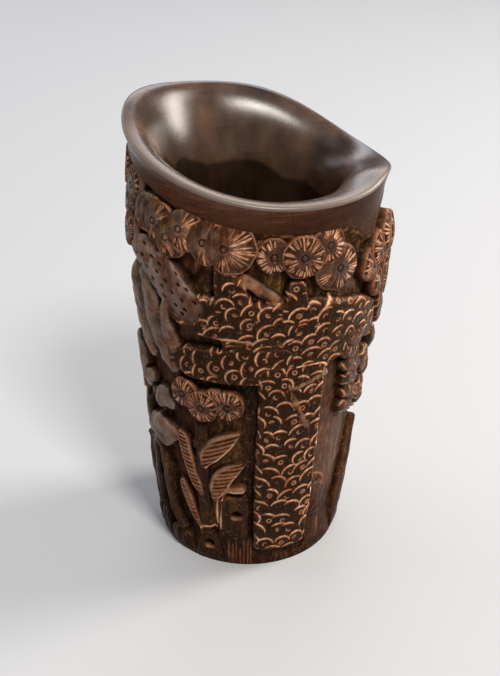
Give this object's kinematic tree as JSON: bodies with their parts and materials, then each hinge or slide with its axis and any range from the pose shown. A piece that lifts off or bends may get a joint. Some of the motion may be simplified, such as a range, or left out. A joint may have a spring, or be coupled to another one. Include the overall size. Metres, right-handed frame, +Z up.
{
  "type": "libation cup",
  "caption": "Flaring oval horn cup with a raised pouring lip, carved in relief with pine, bamboo and rocks, its hollow foot closed by an inset disc.",
  "frame": {"origin": "middle of the foot's flat underside, on the base disc", "axes": "+Z up through the mouth; -Y is the side with the broad pine trunk; the raised pouring lip points between -X and +Y"},
  "size_m": [0.083, 0.076, 0.1452],
  "materials": {
    "carved_horn": "satin",
    "plain_horn": "satin",
    "lacquer": "gloss"
  },
  "bodies": {
    "root": {"carved_wall": "carved_horn", "base_disc": "plain_horn", "seal_bead": "lacquer"}
  },
  "joints": []
}
